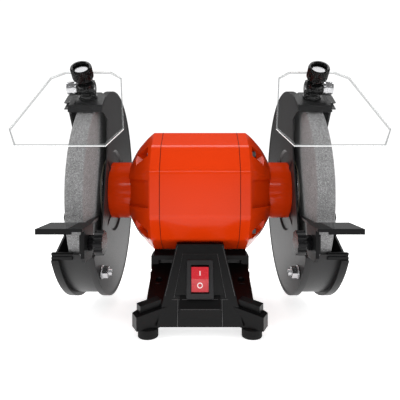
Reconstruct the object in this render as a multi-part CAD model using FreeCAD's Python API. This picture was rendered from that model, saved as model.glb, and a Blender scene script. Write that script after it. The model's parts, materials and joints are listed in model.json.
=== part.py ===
"""Two-wheel bench grinder, in mm.

The origin lies on the bench under the middle of the shaft.  +X runs along the
shaft to the right, -Y is the operator's side and +Z is up.
"""
import FreeCAD
import Part
import math
import os

V = FreeCAD.Vector

# Driving dimensions -------------------------------------------------------
SHAFT_Z = 130.0          # height of the shaft over the bench
WHEEL_R = 100.0
WHEEL_X = 101.5          # motor side face of the wheel
WHEEL_W = 16.0
WHEEL_BORE_R = 10.0
WHEEL_MID = WHEEL_X + WHEEL_W / 2.0
BLOTTER_T = 0.4

BODY_R = 64.0            # motor body over its rounded corners
BODY_CORNERS = (20.6, 46.8, 75.7)
BODY_ROUND = 9.0
SEAM_X = 39.0
RIM_X = 48.5
DOME_END_X = 73.0
STATOR_R = 56.0
STATOR_X = 22.0
ROTOR_R = 37.4
COLLAR_R = 30.5
COLLAR_END_X = 95.0
TIE_R = 53.0
BEARING_R = 20.0
BEARING_X = 76.0
BEARING_W = 12.0

SHAFT_CORE_R = 10.0
SHAFT_SEAT_R = 8.5
SHAFT_END_R = 8.0
SHAFT_END_X = 131.0
FLANGE_R = 34.0
FLANGE_X = 98.9

GUARD_CY = 2.0           # guard centre, measured from the shaft
GUARD_CZ = -2.0
GUARD_R = 109.5
BAND_R = 105.8
BAND_T = 1.6
PLATE_X = 92.6
PLATE_T = 1.8
INNER_RING_X = 98.6
DISH_R = 44.0
DISH_FLOOR_X = 95.0
COVER_X = 129.5
COVER_T = 1.8
COVER_RING_X = 124.6
DOME_R = 62.0
DOME_OUT = 3.4

PAD_TILT = 35.0          # slope of the hood
PAD_Y = -52.0
PAD_Z = 92.5
PAD_HALF = 16.3          # half width of the spark arrestor
MOVE_GAP = 0.3           # clearance between parts that move past each other
SHIELD_TILT = 50.36
SHIELD_T = 3.0
PIVOT_Y = -60.2
PIVOT_Z = 101.8
MOUNT_X = 109.0
PIVOT_TO_SHIELD = 7.5
KNOB_R = 9.8
KNOB_H = 14.5
KNOB_FOOT = 3.0          # height of the tapered foot of the shield knob
KNOB_HOLLOW = 4.0        # depth of the hollow on top of it

REST_TOP = -20.5
REST_T = 2.5
REST_FRONT = -137.0
REST_BACK = -102.5
REST_OUTER = 128.0
LEG_X = 91.3
LEG_T = 2.8
BRACKET_X = 94.4
BRACKET_T = 3.0
REST_SCREW_Y = -117.0
REST_SCREW_Z = -35.0
REST_TRAVEL = 15.0
STUD_Y = -67.5
STUD_Z = -72.5

LEG_UNDER = 8.0
WALL = 3.0
TOWER_TOP = 79.0
TOWER_BASE = 28.0
TOWER_TOP_X = 23.5
TOWER_TOP_Y = 45.0
TOWER_BASE_X = 35.5
TOWER_BASE_Y = 69.9
SIDE_X = 51.0
BENCH_HOLE_X = 42.0
BENCH_HOLE_Y = 35.0
BENCH_HOLE_R = 3.5
FOOT_X = 48.0
FOOT_Y = 74.0
FOOT_R = 9.5
PANEL_TILT = 64.0
SWITCH_Y = -60.1
SWITCH_Z = 48.1
BEZEL_W = 26.0
BEZEL_L = 37.0
ROCKER_W = 16.4
ROCKER_L = 23.6

os.makedirs("parts", exist_ok=True)


# Helpers ------------------------------------------------------------------
def save(name, shape):
    """Write one node."""
    shape.exportStep("parts/" + name + ".step")
    print(name, shape.isValid(), len(shape.Solids), round(shape.Volume, 1))


def box(x0, x1, y0, y1, z0, z1):
    """Box between two corners; heights are over the bench."""
    return Part.makeBox(x1 - x0, y1 - y0, z1 - z0, V(x0, y0, z0))


def rod(radius, x0, x1, y=0.0, z=0.0):
    """Cylinder along X; y and z are measured from the shaft."""
    return Part.makeCylinder(radius, x1 - x0, V(x0, y, SHAFT_Z + z), V(1, 0, 0))


def tube(r_out, r_in, x0, x1, y=0.0, z=0.0):
    """Ring along X."""
    return rod(r_out, x0, x1, y, z).cut(rod(r_in, x0 - 1.0, x1 + 1.0, y, z))


def cone(r0, r1, x0, x1, y=0.0, z=0.0):
    """Cone along X, r0 at x0 and r1 at x1."""
    return Part.makeCone(r0, r1, x1 - x0, V(x0, y, SHAFT_Z + z), V(1, 0, 0))


def prism_x(points, x0, x1):
    """Prism along X from (y, z) corners measured from the shaft."""
    corners = [V(x0, y, SHAFT_Z + z) for y, z in points]
    face = Part.Face(Part.makePolygon(corners + corners[:1]))
    return face.extrude(V(x1 - x0, 0, 0))


def prism_z(points, z0, z1):
    """Prism along Z from (x, y) corners."""
    corners = [V(x, y, z0) for x, y in points]
    face = Part.Face(Part.makePolygon(corners + corners[:1]))
    return face.extrude(V(0, 0, z1 - z0))


def hexagon(width, x0, x1, y=0.0, z=0.0):
    """Hexagon bar along X, width across flats."""
    radius = width / math.sqrt(3.0)
    corners = []
    for step in range(6):
        angle = math.radians(60.0 * step)
        corners.append((y + radius * math.cos(angle), z + radius * math.sin(angle)))
    return prism_x(corners, x0, x1)


def mirrored(shape):
    """The same piece for the left side."""
    return shape.mirror(V(0, 0, 0), V(1, 0, 0))


def join(shapes):
    """One solid from touching shapes."""
    body = shapes[0]
    for shape in shapes[1:]:
        body = body.fuse(shape)
    return body.removeSplitter()


def tilted(shape, tilt, y, z):
    """Place a piece built flat: local Z turns to the operator by tilt about X."""
    placed = shape.copy()
    placed.Placement = FreeCAD.Placement(V(0, y, z), FreeCAD.Rotation(V(1, 0, 0), tilt))
    return placed


def flat_rod(radius, x, v, w0, w1):
    """Cylinder on a flat piece, along its local Z."""
    return Part.makeCylinder(radius, w1 - w0, V(x, v, w0))


def both(name, shape):
    """Save the right hand piece and its mirror image."""
    save(name + "_right", shape)
    save(name + "_left", mirrored(shape))


def pair(name, shape):
    """Save two identical pieces, one on each side, as one node."""
    save(name, Part.makeCompound([shape, mirrored(shape)]))


# Motor body ---------------------------------------------------------------
def body_corners(radius):
    """Corners of the twelve-sided body, from the shaft."""
    angles = [a for a in BODY_CORNERS]
    angles += [180.0 - a for a in reversed(BODY_CORNERS)]
    angles += [180.0 + a for a in BODY_CORNERS]
    angles += [360.0 - a for a in reversed(BODY_CORNERS)]
    corners = []
    for angle in angles:
        turn = math.radians(angle)
        corners.append((-radius * math.cos(turn), radius * math.sin(turn)))
    return corners


def body_wire(x, radius):
    """Rounded twelve-sided outline at one place along the shaft."""
    corners = [V(x, y, SHAFT_Z + z) for y, z in body_corners(radius)]
    rounding = BODY_ROUND * radius / BODY_R
    count = len(corners)
    starts = []
    ends = []
    mids = []
    for index in range(count):
        here = corners[index]
        back = (corners[index - 1] - here).normalize()
        ahead = (corners[(index + 1) % count] - here).normalize()
        half = back.getAngle(ahead) / 2.0
        reach = rounding / math.tan(half)
        centre = here + (back + ahead).normalize() * (rounding / math.sin(half))
        starts.append(here + back * reach)
        ends.append(here + ahead * reach)
        mids.append(centre + (here - centre).normalize() * rounding)
    edges = []
    for index in range(count):
        edges.append(Part.Arc(starts[index], mids[index], ends[index]).toShape())
        edges.append(Part.LineSegment(ends[index], starts[(index + 1) % count]).toShape())
    return Part.Wire(edges)


def body_prism(x0, x1, radius=BODY_R):
    """Straight length of the body."""
    return Part.Face(body_wire(x0, radius)).extrude(V(x1 - x0, 0, 0))


DOME_SECTIONS = (
    (RIM_X, BODY_R), (52.0, 61.2), (56.0, 57.4), (60.0, 53.0),
    (64.0, 48.5), (68.0, 43.0), (DOME_END_X, 34.0),
)
POCKET_DEPTH = 4.5
POCKET_HALF = 13.5
POCKET_X = 50.5
NOTCH_HALF = 7.0
NOTCH_X = 52.0
NOTCH_R = 46.0


def dome(inset):
    """Faceted dome of the end bell."""
    wires = [body_wire(x, radius - inset) for x, radius in DOME_SECTIONS]
    return Part.makeLoft(wires, True, False)


def about_shaft(shape, angle):
    """Turn a piece about the shaft."""
    turned = shape.copy()
    turned.rotate(V(0, 0, SHAFT_Z), V(1, 0, 0), angle)
    return turned


def end_bell():
    """Right end bell with pockets, tie bolt notches and bearing seat."""
    body = join([body_prism(SEAM_X, RIM_X), dome(0.0), rod(COLLAR_R, 60.0, COLLAR_END_X)])
    core = join([dome(POCKET_DEPTH), rod(COLLAR_R, 60.0, COLLAR_END_X)])
    for angle in (0.0, 90.0, 180.0, 270.0):
        pocket = box(POCKET_X, DOME_END_X + 2.0, -70.0, -25.0,
                     SHAFT_Z - POCKET_HALF, SHAFT_Z + POCKET_HALF)
        body = body.cut(about_shaft(pocket, angle).cut(core))
        notch = box(NOTCH_X, DOME_END_X, -75.0, -NOTCH_R,
                    SHAFT_Z - NOTCH_HALF, SHAFT_Z + NOTCH_HALF)
        body = body.cut(about_shaft(notch, angle + 45.0))
        bolt_hole = rod(2.8, SEAM_X - 1.0, NOTCH_X + 1.0, -TIE_R, 0.0)
        body = body.cut(about_shaft(bolt_hole, angle + 45.0))
    body = body.cut(rod(47.0, SEAM_X - 1.0, 50.0))
    body = body.cut(cone(47.0, BEARING_R, 50.0, 62.0))
    body = body.cut(rod(BEARING_R, 61.0, BEARING_X + BEARING_W))
    body = body.cut(rod(12.0, 80.0, COLLAR_END_X + 1.0))
    for angle in (90.0, 210.0, 330.0):
        tapped = rod(2.0, COLLAR_END_X - 10.0, COLLAR_END_X + 1.0, -25.5, 0.0)
        body = body.cut(about_shaft(tapped, angle))
    return body


shell = body_prism(-SEAM_X, SEAM_X).cut(rod(STATOR_R, -SEAM_X - 1.0, SEAM_X + 1.0))
MOTOR_SCREWS = [(x, y) for x in (-15.0, 15.0) for y in (-9.0, 9.0)]
for sx, sy in MOTOR_SCREWS:
    shell = shell.cut(Part.makeCylinder(2.5, 6.0, V(sx, sy, 66.0)))
save("motor_shell", shell)
both("end_bell", end_bell())

stator = tube(STATOR_R, ROTOR_R + 0.6, -STATOR_X, STATOR_X)
tie_bolts = []
for angle in (45.0, 135.0, 225.0, 315.0):
    stator = stator.cut(about_shaft(rod(3.2, -STATOR_X - 1, STATOR_X + 1, -TIE_R - 0.6, 0), angle))
    bolt = join([rod(2.5, -NOTCH_X - 1.5, NOTCH_X + 1.0, -TIE_R, 0.0),
                 hexagon(8.0, NOTCH_X, NOTCH_X + 4.0, -TIE_R, 0.0)])
    tie_bolts.append(about_shaft(bolt, angle))
save("stator_core", stator)
save("tie_bolts", Part.makeCompound(tie_bolts))


def winding():
    """Rounded coil bundle at one end of the stator."""
    ring = tube(49.5, 40.0, STATOR_X, 35.0)
    edges = [e for e in ring.Edges if abs(e.CenterOfMass.x - 35.0) < 0.1]
    return ring.makeFillet(3.5, edges)


pair("stator_windings", winding())

# Rotor --------------------------------------------------------------------
shaft_parts = [rod(SHAFT_CORE_R, -62.0, 62.0)]
for sign in (-1.0, 1.0):
    for radius, x0, x1 in ((SHAFT_SEAT_R, 62.0, FLANGE_X), (SHAFT_END_R, FLANGE_X, SHAFT_END_X)):
        ends = sorted((sign * x0, sign * x1))
        shaft_parts.append(rod(radius, ends[0], ends[1]))
shaft = join(shaft_parts)
save("shaft", shaft)
save("rotor_core", tube(ROTOR_R, SHAFT_CORE_R, -STATOR_X, STATOR_X))
cage_fins = [tube(34.0, 24.0, STATOR_X, STATOR_X + 4.0)]
for step in range(8):
    fin = box(STATOR_X + 4.0, STATOR_X + 12.0, -33.0, -25.0, SHAFT_Z - 1.0, SHAFT_Z + 1.0)
    cage_fins.append(about_shaft(fin, 45.0 * step))
pair("rotor_cage", join(cage_fins))

BEARING_END = BEARING_X + BEARING_W
pair("bearing_inner_rings", tube(12.0, SHAFT_SEAT_R, BEARING_X, BEARING_END))
pair("bearing_outer_rings", tube(BEARING_R, 16.6, BEARING_X, BEARING_END))
balls = []
for step in range(8):
    ball = Part.makeSphere(2.25, V(BEARING_X + BEARING_W / 2, -14.3, SHAFT_Z))
    balls.append(about_shaft(ball, 45.0 * step))
save("bearing_balls", Part.makeCompound(balls + [mirrored(b) for b in balls]))

wheel = tube(WHEEL_R, WHEEL_BORE_R, WHEEL_X, WHEEL_X + WHEEL_W)
wheel_rims = [e for e in wheel.Edges if abs(e.BoundBox.ZLength - 2 * WHEEL_R) < 0.1]
both("wheel", wheel.makeChamfer(0.8, wheel_rims))
pair("wheel_bushes", tube(WHEEL_BORE_R, SHAFT_END_R, WHEEL_X, WHEEL_X + WHEEL_W))
blotter_in = tube(FLANGE_R + 1.0, SHAFT_END_R, WHEEL_X - BLOTTER_T, WHEEL_X)
blotter_out = blotter_in.copy()
blotter_out.translate(V(WHEEL_W + BLOTTER_T, 0, 0))
save("wheel_blotters", Part.makeCompound([
    blotter_in, blotter_out, mirrored(blotter_in), mirrored(blotter_out)]))
inner_flange = tube(20.0, SHAFT_END_R, FLANGE_X, WHEEL_X - BLOTTER_T)
inner_flange = join([inner_flange, tube(FLANGE_R, 19.0, FLANGE_X + 1.0, WHEEL_X - BLOTTER_T)])
pair("wheel_inner_flanges", inner_flange)
OUTER_FLANGE_X = WHEEL_X + WHEEL_W + BLOTTER_T
outer_flange = join([tube(FLANGE_R, SHAFT_END_R, OUTER_FLANGE_X, OUTER_FLANGE_X + 1.8),
                     tube(18.0, SHAFT_END_R, OUTER_FLANGE_X + 1.8, OUTER_FLANGE_X + 3.0)])
pair("wheel_outer_flanges", outer_flange)
NUT_X = OUTER_FLANGE_X + 3.0
arbor_nut = hexagon(24.0, NUT_X, NUT_X + 8.0).cut(rod(SHAFT_END_R, NUT_X - 1.0, NUT_X + 9.0))
pair("arbor_nuts", arbor_nut)

# Guards -------------------------------------------------------------------
MOUTH_INNER = [
    (-200.0, 79.0), (-60.5, 79.0), (-58.0, 79.0), (-41.0, 74.0), (-40.0, 43.0), (-58.0, -20.0),
    (-63.0, -38.0), (-90.0, -52.5), (-200.0, -52.5),
]
MOUTH_OUTER = [
    (-200.0, 88.0), (-48.0, 88.0), (-31.5, 66.0), (-33.0, 0.0), (-59.0, -40.0), (-90.0, -55.5),
    (-200.0, -55.5),
]
BAND_MOUTH = [
    (-200.0, 81.2), (-20.0, 81.2), (-20.0, -50.5), (-200.0, -50.5),
]


def guard_disc(radius, x0, x1):
    """Disc about the guard centre."""
    return rod(radius, x0, x1, GUARD_CY, GUARD_CZ)


def guard_ring(r_out, r_in, x0, x1):
    """Ring about the guard centre."""
    return tube(r_out, r_in, x0, x1, GUARD_CY, GUARD_CZ)


def on_guard(angle, radius):
    """Point on the guard: angle from the rear, upwards."""
    turn = math.radians(angle)
    return GUARD_CY + radius * math.cos(turn), GUARD_CZ + radius * math.sin(turn)


def pad_saddle():
    """Block under the spark arrestor that follows the slope of the hood."""
    block = tilted(Part.makeBox(20.0, 19.0, 10.7, V(MOUNT_X - 10.0, -11.0, -11.0)),
                   PAD_TILT, PAD_Y, SHAFT_Z + PAD_Z)
    return block.cut(guard_disc(BAND_R - 0.5, PLATE_X, COVER_X))


def arrestor_space():
    """Room for the spark arrestor: the flat cut on the rims and the gap at the front."""
    inside = MOUNT_X - PAD_HALF - 2.5
    outside = COVER_X + 25.0
    flat = tilted(Part.makeBox(outside - inside, 40.0, 12.0, V(inside, -26.0, -MOVE_GAP)),
                  PAD_TILT, PAD_Y, SHAFT_Z + PAD_Z)
    front = box(inside, outside, -90.0, -62.4, SHAFT_Z + 70.0, SHAFT_Z + 92.0)
    return join([flat, front])


def inner_guard():
    """Inner guard: side plate with a dish, band, edge ring and hood saddle."""
    plate = guard_disc(GUARD_R, PLATE_X, PLATE_X + PLATE_T)
    ring = guard_ring(GUARD_R, BAND_R - BAND_T, PLATE_X, INNER_RING_X)
    side = join([plate, ring]).cut(prism_x(MOUTH_INNER, PLATE_X - 10.0, INNER_RING_X + 10.0))
    band = guard_ring(BAND_R, BAND_R - BAND_T, PLATE_X + PLATE_T, COVER_X)
    band = band.cut(prism_x(BAND_MOUTH, PLATE_X, COVER_X + 1.0))
    body = join([side, band, pad_saddle()])
    body = body.cut(guard_disc(GUARD_R - 2.4, PLATE_X - 5.0, PLATE_X + 0.5))
    body = body.cut(rod(DISH_R - 2.0, PLATE_X - 1.0, DISH_FLOOR_X))
    dish = join([cone(DISH_R + 3.0, DISH_R, PLATE_X + 0.6, DISH_FLOOR_X + 1.8),
                 rod(DISH_R, DISH_FLOOR_X, DISH_FLOOR_X + 1.8)])
    dish = dish.cut(cone(DISH_R + 1.0, DISH_R - 2.0, PLATE_X, DISH_FLOOR_X))
    dish = dish.cut(prism_x(MOUTH_INNER, PLATE_X - 10.0, INNER_RING_X + 10.0))
    body = join([body, dish])
    body = body.cut(cone(DISH_R + 1.0, DISH_R - 2.0, PLATE_X - 0.1, DISH_FLOOR_X))
    body = body.cut(rod(15.0, PLATE_X - 5.0, INNER_RING_X + 5.0))
    for angle in (90.0, 210.0, 330.0):
        body = body.cut(about_shaft(rod(2.2, PLATE_X, 100.0, -25.5, 0.0), angle))
    body = body.cut(rod(3.1, PLATE_X - 1.0, BRACKET_X + 1.0, STUD_Y, STUD_Z))
    pin = tilted(flat_rod(3.1, MOUNT_X, 0.0, -20.0, 5.0), PAD_TILT, PAD_Y, SHAFT_Z + PAD_Z)
    return body.cut(pin).cut(arrestor_space())


COVER_SCREW_ANGLES = (70.0, 5.0, -70.0)


def guard_cover():
    """Outer guard cover: dished plate with a deep edge ring and a lower lip."""
    plate = guard_disc(GUARD_R, COVER_X, COVER_X + COVER_T)
    ring = guard_ring(GUARD_R, BAND_R, COVER_RING_X, COVER_X + COVER_T)
    body = join([plate, ring])
    bulge = join([cone(DOME_R, DOME_R - 8.0, COVER_X, COVER_X + COVER_T + DOME_OUT),
                  rod(2.0, COVER_X, COVER_X + 1.0)])
    body = join([body, bulge])
    body = body.cut(cone(DOME_R - 2.0, DOME_R - 10.0, COVER_X - 0.1, COVER_X + DOME_OUT))
    body = body.cut(prism_x(MOUTH_OUTER, COVER_RING_X - 5.0, COVER_X + 20.0))
    lip = prism_x([(-91.0, -55.5), (-88.5, -55.5), (-88.5, -49.0), (-91.0, -49.0)], 113.0, COVER_X + COVER_T)
    rib = prism_x([(-92.2, -51.2), (-91.0, -51.2), (-91.0, -49.0), (-92.2, -49.0)], 113.0, COVER_X + COVER_T)
    low_rib = rib.copy()
    low_rib.translate(V(0, 0, -3.6))
    lip_side = prism_x([(-91.0, -60.0), (-88.5, -60.0), (-88.5, -49.0), (-91.0, -49.0)],
                       COVER_X, COVER_X + COVER_T)
    body = join([body, lip, rib, low_rib, lip_side])
    body = body.cut(band_space()).cut(arrestor_space())
    for angle in COVER_SCREW_ANGLES:
        body = body.cut(radial(2.1, angle, BAND_R - 3.0, GUARD_R + 2.0))
    return body


def band_space():
    """Room taken by the guard band."""
    return guard_ring(BAND_R, BAND_R - BAND_T, PLATE_X, COVER_X)


def radial(radius, angle, r0, r1):
    """Cylinder that points outwards from the guard centre through the cover ring."""
    mid_x = (COVER_RING_X + COVER_X) / 2.0
    turn = math.radians(angle)
    direction = V(0, math.cos(turn), math.sin(turn))
    start = V(mid_x, GUARD_CY, SHAFT_Z + GUARD_CZ) + direction * r0
    return Part.makeCylinder(radius, r1 - r0, start, direction)


guard = inner_guard()
for angle in COVER_SCREW_ANGLES:
    guard = guard.cut(radial(1.6, angle, BAND_R - 3.0, GUARD_R))
both("guard_inner", guard)
both("guard_cover", guard_cover())
cover_screws = []
for angle in COVER_SCREW_ANGLES:
    cover_screws.append(join([radial(1.6, angle, BAND_R - BAND_T, GUARD_R + 0.2),
                              radial(3.4, angle, GUARD_R, GUARD_R + 1.8)]))
save("guard_cover_screws", Part.makeCompound(cover_screws + [mirrored(s) for s in cover_screws]))
flange_screws = []
for angle in (90.0, 210.0, 330.0):
    screw = join([rod(2.0, COLLAR_END_X - 9.0, 97.0, -25.5, 0.0), rod(3.6, 96.8, 98.4, -25.5, 0.0)])
    flange_screws.append(about_shaft(screw, angle))
save("guard_flange_screws", Part.makeCompound(flange_screws + [mirrored(s) for s in flange_screws]))

# Spark arrestors and eye shields ------------------------------------------
HOOD_Z = SHAFT_Z + PAD_Z
PIVOT_ABS_Z = SHAFT_Z + PIVOT_Z


def spark_arrestor():
    """Formed cap on the hood: flat pad, two bevelled cheeks and a front strip."""
    outline = [V(MOUNT_X - PAD_HALF, -14.6, 0), V(MOUNT_X + PAD_HALF, -14.6, 0),
               V(MOUNT_X + PAD_HALF, 6.0, 0), V(MOUNT_X + 10.5, 12.0, 0),
               V(MOUNT_X - 10.5, 12.0, 0), V(MOUNT_X - PAD_HALF, 6.0, 0)]
    slab = Part.Face(Part.makePolygon(outline + outline[:1])).extrude(V(0, 0, 1.6))
    for sign in (-1.0, 1.0):
        bevel = Part.makeBox(12.0, 60.0, 6.0, V(0, -30.0, 0))
        bevel.Placement = FreeCAD.Placement(
            V(MOUNT_X + sign * 10.8, 0, 1.6), FreeCAD.Rotation(V(0, 1, 0), 14.0 if sign > 0 else 166.0))
        slab = slab.cut(bevel)
    pad = tilted(slab, PAD_TILT, PAD_Y, HOOD_Z)
    strip = box(MOUNT_X - PAD_HALF, MOUNT_X + PAD_HALF, -65.2, -63.7, SHAFT_Z + 78.4, SHAFT_Z + 85.0)
    body = join([pad, strip])
    slot = tilted(join([flat_rod(3.3, MOUNT_X, -1.6, -5.0, 5.0), flat_rod(3.3, MOUNT_X, 5.2, -5.0, 5.0),
                        Part.makeBox(6.6, 6.8, 10.0, V(MOUNT_X - 3.3, -1.6, -5.0))]),
                  PAD_TILT, PAD_Y, HOOD_Z)
    return body.cut(slot)


both("spark_arrestor", spark_arrestor())

BALL_X0 = MOUNT_X - 8.3
BALL_X1 = MOUNT_X + 8.0
TONGUE_HALF = 3.4


def shield_post():
    """Fixed lower half of the shield joint, on the hood."""
    base = flat_rod(8.8, MOUNT_X, 0.0, 1.9, 3.9)
    stem = flat_rod(8.0, MOUNT_X, 0.0, 3.9, 6.4)
    low = tilted(join([base, stem]), PAD_TILT, PAD_Y, HOOD_Z)
    tongue = rod(6.3, MOUNT_X - TONGUE_HALF, MOUNT_X + TONGUE_HALF, PIVOT_Y, PIVOT_Z)
    web = tilted(Part.makeBox(2 * TONGUE_HALF, 10.0, 9.0, V(MOUNT_X - TONGUE_HALF, -6.0, 3.9)),
                 PAD_TILT, PAD_Y, HOOD_Z)
    body = join([low, tongue, web])
    for x0, x1 in ((BALL_X0 - 5.0, MOUNT_X - TONGUE_HALF), (MOUNT_X + TONGUE_HALF, BALL_X1 + 5.0)):
        body = body.cut(rod(6.9, x0, x1, PIVOT_Y, PIVOT_Z))
    body = body.cut(rod(2.55, MOUNT_X - 20.0, MOUNT_X + 20.0, PIVOT_Y, PIVOT_Z))
    return body.cut(tilted(flat_rod(2.5, MOUNT_X, 0.0, 0.0, 6.4), PAD_TILT, PAD_Y, HOOD_Z))


def post_screw():
    """Screw that holds the post and the arrestor on the hood from below."""
    screw = join([flat_rod(2.5, MOUNT_X, 0.0, -5.0, 5.6), flat_rod(3.0, MOUNT_X, 0.0, -4.4, -2.6)])
    return tilted(screw, PAD_TILT, PAD_Y, HOOD_Z)


def shield_head():
    """Moving upper half of the shield joint: a fork with a round seat."""
    cheeks = join([rod(6.3, BALL_X0, MOUNT_X - TONGUE_HALF - 0.4, PIVOT_Y, PIVOT_Z),
                   rod(6.3, BALL_X0, BALL_X0 + 1.0, PIVOT_Y, PIVOT_Z)])
    other = rod(6.3, MOUNT_X + TONGUE_HALF + 0.4, BALL_X1, PIVOT_Y, PIVOT_Z)
    seat = flat_rod(8.0, MOUNT_X, 0.0, 4.2, PIVOT_TO_SHIELD)
    side = Part.makeBox(BALL_X1 - BALL_X0, 10.0, 6.0, V(BALL_X0, -5.0, 0.0))
    side = side.cut(Part.makeBox(2 * TONGUE_HALF + 0.8, 20.0, 10.0, V(MOUNT_X - TONGUE_HALF - 0.4, -10.0, -2.0)))
    top = tilted(join([seat, side]), SHIELD_TILT, PIVOT_Y, PIVOT_ABS_Z)
    body = join([cheeks, other, top])
    body = body.cut(rod(6.7, MOUNT_X - TONGUE_HALF - 0.4, MOUNT_X + TONGUE_HALF + 0.4, PIVOT_Y, PIVOT_Z))
    body = body.cut(rod(2.5, MOUNT_X - 20.0, MOUNT_X + 20.0, PIVOT_Y, PIVOT_Z))
    screw_hole = flat_rod(2.6, MOUNT_X, 0.0, PIVOT_TO_SHIELD - 1.0, PIVOT_TO_SHIELD + 1.0)
    return body.cut(tilted(screw_hole, SHIELD_TILT, PIVOT_Y, PIVOT_ABS_Z))


both("shield_post", shield_post())
pair("shield_post_screws", post_screw())
both("shield_head", shield_head())


def pivot_bolt():
    """Bright bolt with a long hexagon head on the outer side."""
    shank = rod(2.5, BALL_X0 - 0.6, BALL_X1 + 1.0, PIVOT_Y, PIVOT_Z)
    collar = rod(6.3, BALL_X1, BALL_X1 + 2.2, PIVOT_Y, PIVOT_Z)
    head = hexagon(11.8, BALL_X1 + 2.2, BALL_X1 + 9.5, PIVOT_Y, PIVOT_Z)
    head = head.common(cone(6.6, 5.9, BALL_X1 + 2.2, BALL_X1 + 9.5, PIVOT_Y, PIVOT_Z))
    return join([shank, collar, head])


both("shield_pivot_bolt", pivot_bolt())

SHIELD_TOP_HALF = 22.0
SHIELD_SHOULDER_HALF = 33.8
SHIELD_WIDE_HALF = 48.6
SHIELD_LOW_HALF = 37.4
SHIELD_ABOVE = 13.0
SHIELD_SHOULDER = 9.0
SHIELD_WIDE = 76.0
SHIELD_LONG = 95.0
SHIELD_LEAN = 7.0


def eye_shield():
    """Clear plate with clipped corners."""
    rows = ((0.0, SHIELD_TOP_HALF), (SHIELD_SHOULDER, SHIELD_SHOULDER_HALF),
            (SHIELD_WIDE, SHIELD_WIDE_HALF), (SHIELD_LONG, SHIELD_LOW_HALF))
    near = []
    far = []
    for down, half in rows:
        middle = MOUNT_X - 1.5 + SHIELD_LEAN * down / SHIELD_LONG
        near.append(V(middle - half, SHIELD_ABOVE - down, PIVOT_TO_SHIELD))
        far.append(V(middle + half, SHIELD_ABOVE - down, PIVOT_TO_SHIELD))
    outline = near + far[::-1]
    plate = Part.Face(Part.makePolygon(outline + outline[:1])).extrude(V(0, 0, SHIELD_T))
    plate = plate.cut(flat_rod(2.7, MOUNT_X, 0.0, 0.0, 20.0))
    return tilted(plate, SHIELD_TILT, PIVOT_Y, PIVOT_ABS_Z)


KNOB_LOW = PIVOT_TO_SHIELD + SHIELD_T + 0.3


def shield_knob():
    """Fluted knob, tapered at the foot and hollow on top."""
    body = Part.makeCone(7.4, KNOB_R, KNOB_FOOT, V(MOUNT_X, 0, KNOB_LOW))
    top = KNOB_LOW + KNOB_H
    body = join([body, flat_rod(KNOB_R, MOUNT_X, 0.0, KNOB_LOW + KNOB_FOOT, top)])
    body = body.cut(flat_rod(7.0, MOUNT_X, 0.0, top - KNOB_HOLLOW, top + 1.0))
    for step in range(18):
        turn = math.radians(20.0 * step)
        reach = KNOB_R + 0.55
        groove = Part.makeCylinder(1.0, KNOB_H, V(MOUNT_X + reach * math.cos(turn), reach * math.sin(turn),
                                                  KNOB_LOW - 1.0))
        body = body.cut(groove)
    body = body.cut(flat_rod(2.5, MOUNT_X, 0.0, 0.0, 40.0))
    return tilted(body, SHIELD_TILT, PIVOT_Y, PIVOT_ABS_Z)


def knob_screw():
    """Screw of the shield knob with its bright round head."""
    top = KNOB_LOW + KNOB_H
    seat = top - KNOB_HOLLOW
    screw = join([flat_rod(2.5, MOUNT_X, 0.0, 6.9, seat + 0.1), flat_rod(5.8, MOUNT_X, 0.0, seat, seat + 1.0)])
    return tilted(screw, SHIELD_TILT, PIVOT_Y, PIVOT_ABS_Z)


both("eye_shield", eye_shield())
both("shield_knob", shield_knob())
both("shield_knob_screw", knob_screw())

# Tool rests ---------------------------------------------------------------
REST_Z = SHAFT_Z + REST_TOP
SCREW_Z = SHAFT_Z + REST_SCREW_Z
SLOT_HALF = 3.3


def tool_rest():
    """Rest plate with a folded front edge, an ear beside the wheel and a slotted leg."""
    plate = prism_z([(LEG_X, REST_FRONT), (REST_OUTER, REST_FRONT), (REST_OUTER, REST_BACK),
                     (LEG_X + 5.0, REST_BACK), (99.0, REST_BACK + 6.0), (99.0, -57.0), (96.6, -57.0),
                     (LEG_X + 0.3, -122.0)], REST_Z - REST_T, REST_Z)
    fold = box(100.0, REST_OUTER, REST_FRONT, REST_FRONT + 2.0, REST_Z - 4.4, REST_Z)
    leg = prism_x([(-131.0, REST_TOP), (-131.0, -45.0), (-127.0, -49.0), (-107.0, -49.0),
                   (-103.5, -45.0), (-103.5, REST_TOP)], LEG_X, LEG_X + LEG_T)
    body = join([plate, fold, leg])
    lead = REST_SCREW_Y - 1.5
    back = REST_SCREW_Y + REST_TRAVEL - 3.0
    body = body.cut(rod(SLOT_HALF, LEG_X - 1, LEG_X + LEG_T + 1, lead, REST_SCREW_Z))
    body = body.cut(rod(SLOT_HALF, LEG_X - 1, LEG_X + LEG_T + 1, lead + 11.0, REST_SCREW_Z))
    slot = box(LEG_X - 1.0, LEG_X + LEG_T + 1.0, lead, lead + 11.0, SCREW_Z - SLOT_HALF, SCREW_Z + SLOT_HALF)
    return body.cut(slot)


def rest_bracket():
    """Arm inside the guard that carries the tool rest."""
    arm = prism_x([(-124.0, -27.5), (-124.0, -43.0), (-119.0, -46.0), (-96.0, -46.6), (-91.0, -47.0),
                   (-84.0, -56.0), (-76.0, -84.0), (-58.0, -84.0), (-60.0, -60.0), (-76.0, -38.0),
                   (-100.0, -27.5)], BRACKET_X, BRACKET_X + BRACKET_T)
    rear = arm.common(guard_disc(BAND_R - BAND_T - 0.2, BRACKET_X, BRACKET_X + BRACKET_T))
    front = arm.common(box(80.0, 120.0, -130.0, -88.0, 60.0, 120.0))
    arm = join([rear, front])
    arm = arm.cut(rod(3.0, BRACKET_X - 1, BRACKET_X + BRACKET_T + 1, REST_SCREW_Y, REST_SCREW_Z))
    return arm.cut(rod(3.0, BRACKET_X - 1, BRACKET_X + BRACKET_T + 1, STUD_Y, STUD_Z))


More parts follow.
